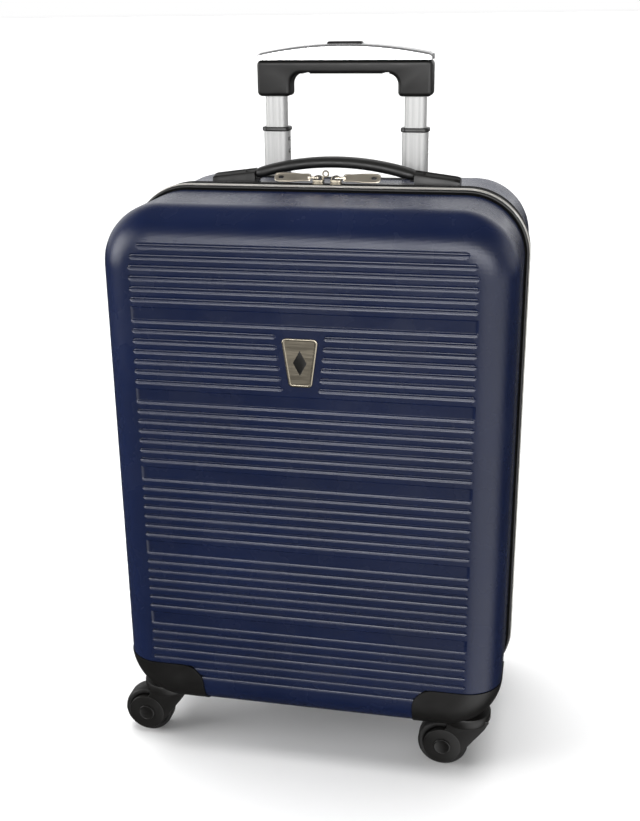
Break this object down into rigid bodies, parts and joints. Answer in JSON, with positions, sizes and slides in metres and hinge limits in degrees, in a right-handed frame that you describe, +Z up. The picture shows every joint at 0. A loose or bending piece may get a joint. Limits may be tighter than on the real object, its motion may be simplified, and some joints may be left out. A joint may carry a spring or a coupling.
{
  "type": "hard shell suitcase on wheels",
  "caption": "Hard shell cabin suitcase with a ribbed front and back, a zip round the case, a telescopic trolley handle, a carry handle and swivelling wheels at its corners.",
  "frame": {"origin": "on the floor, at the centre of the whole object's footprint", "axes": "+Z up; the ribbed front with the badge faces -Y; the trolley handle stands at the +Y side; the zip's hinge side is on -X"},
  "size_m": [0.381, 0.238, 0.6628],
  "materials": {
    "shell": "navy, fine diamond emboss, satin sheen",
    "black_plastic": "fine moulded texture",
    "piping": "glossy dark grey tube",
    "welt": "soft black",
    "zip_tape": "woven polyester tape",
    "zip_coil": "nylon coil",
    "pewter": "pewter plated zinc",
    "tube": "satin anodised",
    "silver_plastic": "silver painted",
    "steel": "zinc plated",
    "soft_grip": "soft touch",
    "tread": "smooth hard rubber",
    "lining": "woven polyester",
    "webbing": "woven webbing"
  },
  "bodies": {
    "rear_half": {"rear_shell": "shell", "rear_lining": "lining", "hinge_gusset": "lining", "left_packing_strap": "webbing", "right_packing_strap": "webbing", "packing_buckle": "black_plastic", "rear_zip_tape": "zip_tape", "rear_piping": "piping", "rear_zip_coil": "zip_coil", "left_outer_tube": "tube", "right_outer_tube": "tube", "handle_bezel": "black_plastic", "tube_bracket": "black_plastic", "left_carry_mount": "black_plastic", "right_carry_mount": "black_plastic", "rear_left_wheel_housing": "black_plastic", "rear_right_wheel_housing": "black_plastic"},
    "front_half": {"front_shell": "shell", "badge": "pewter", "front_lining": "lining", "front_zip_tape": "zip_tape", "front_welt": "welt", "front_piping": "piping", "front_zip_coil": "zip_coil", "front_left_wheel_housing": "black_plastic", "front_right_wheel_housing": "black_plastic"},
    "left_slider": {"left_slider": "pewter"},
    "left_pull": {"left_pull": "pewter"},
    "right_slider": {"right_slider": "pewter"},
    "right_pull": {"right_pull": "pewter"},
    "carry_grip": {"carry_grip": "soft_grip"},
    "lower_stage": {"left_lower_tube": "tube", "right_lower_tube": "tube", "left_collar": "black_plastic", "right_collar": "black_plastic"},
    "upper_stage": {"left_upper_tube": "tube", "right_upper_tube": "tube", "trolley_grip": "black_plastic", "grip_cover": "silver_plastic"},
    "release": {"release_button": "black_plastic", "release_yoke": "black_plastic", "left_release_rod": "tube", "right_release_rod": "tube"},
    "front_left_swivel": {"front_left_kingpin": "steel", "front_left_fork": "black_plastic", "front_left_axle": "black_plastic"},
    "front_left_wheel": {"front_left_wheel": "tread"},
    "front_right_swivel": {"front_right_kingpin": "steel", "front_right_fork": "black_plastic", "front_right_axle": "black_plastic"},
    "front_right_wheel": {"front_right_wheel": "tread"},
    "rear_left_swivel": {"rear_left_kingpin": "steel", "rear_left_fork": "black_plastic", "rear_left_axle": "black_plastic"},
    "rear_left_wheel": {"rear_left_wheel": "tread"},
    "rear_right_swivel": {"rear_right_kingpin": "steel", "rear_right_fork": "black_plastic", "rear_right_axle": "black_plastic"},
    "rear_right_wheel": {"rear_right_wheel": "tread"}
  },
  "joints": [
    {"name": "case_hinge", "type": "hinge", "parent": "rear_half", "child": "front_half", "pos_m": [-0.184, 0.006, 0.3], "axis": [0, 0, -1], "range_deg": [0, 180]},
    {"name": "left_slider_slide", "type": "slide", "parent": "rear_half", "child": "left_slider", "axis": [1, 0, 0], "range_m": [-0.11, 0]},
    {"name": "left_pull_flip", "type": "hinge", "parent": "left_slider", "child": "left_pull", "pos_m": [-0.0047, 0.006, 0.5467], "axis": [0, 1, 0], "range_deg": [0, 90]},
    {"name": "right_slider_slide", "type": "slide", "parent": "rear_half", "child": "right_slider", "axis": [1, 0, 0], "range_m": [0, 0.11]},
    {"name": "right_pull_flip", "type": "hinge", "parent": "right_slider", "child": "right_pull", "pos_m": [0.0117, 0.006, 0.5467], "axis": [0, -1, 0], "range_deg": [0, 90]},
    {"name": "carry_grip_lift", "type": "slide", "parent": "rear_half", "child": "carry_grip", "axis": [0, 0, 1], "range_m": [0, 0.003]},
    {"name": "lower_stage_slide", "type": "slide", "parent": "rear_half", "child": "lower_stage", "axis": [0, 0, 1], "range_m": [-0.066, 0.17]},
    {"name": "upper_stage_slide", "type": "slide", "parent": "lower_stage", "child": "upper_stage", "axis": [0, 0, 1], "range_m": [-0.0285, 0.185]},
    {"name": "release_button_press", "type": "slide", "parent": "upper_stage", "child": "release", "axis": [0, 0, -1], "range_m": [0, 0.004], "stiffness_N_per_m": 600, "springref_m": -0.003},
    {"name": "front_left_swivel_turn", "type": "hinge", "parent": "front_half", "child": "front_left_swivel", "pos_m": [-0.1455, -0.083, 0.05], "axis": [0, 0, 1], "continuous": true},
    {"name": "front_left_wheel_roll", "type": "hinge", "parent": "front_left_swivel", "child": "front_left_wheel", "pos_m": [-0.1665, -0.083, 0.024], "axis": [0, 1, 0], "continuous": true},
    {"name": "front_right_swivel_turn", "type": "hinge", "parent": "front_half", "child": "front_right_swivel", "pos_m": [0.1525, -0.083, 0.05], "axis": [0, 0, 1], "continuous": true},
    {"name": "front_right_wheel_roll", "type": "hinge", "parent": "front_right_swivel", "child": "front_right_wheel", "pos_m": [0.1315, -0.083, 0.024], "axis": [0, 1, 0], "continuous": true},
    {"name": "rear_left_swivel_turn", "type": "hinge", "parent": "rear_half", "child": "rear_left_swivel", "pos_m": [-0.1455, 0.083, 0.05], "axis": [0, 0, 1], "continuous": true},
    {"name": "rear_left_wheel_roll", "type": "hinge", "parent": "rear_left_swivel", "child": "rear_left_wheel", "pos_m": [-0.1455, 0.062, 0.024], "axis": [1, 0, 0], "continuous": true},
    {"name": "rear_right_swivel_turn", "type": "hinge", "parent": "rear_half", "child": "rear_right_swivel", "pos_m": [0.1525, 0.083, 0.05], "axis": [0, 0, 1], "continuous": true},
    {"name": "rear_right_wheel_roll", "type": "hinge", "parent": "rear_right_swivel", "child": "rear_right_wheel", "pos_m": [0.1525, 0.062, 0.024], "axis": [1, 0, 0], "continuous": true}
  ]
}
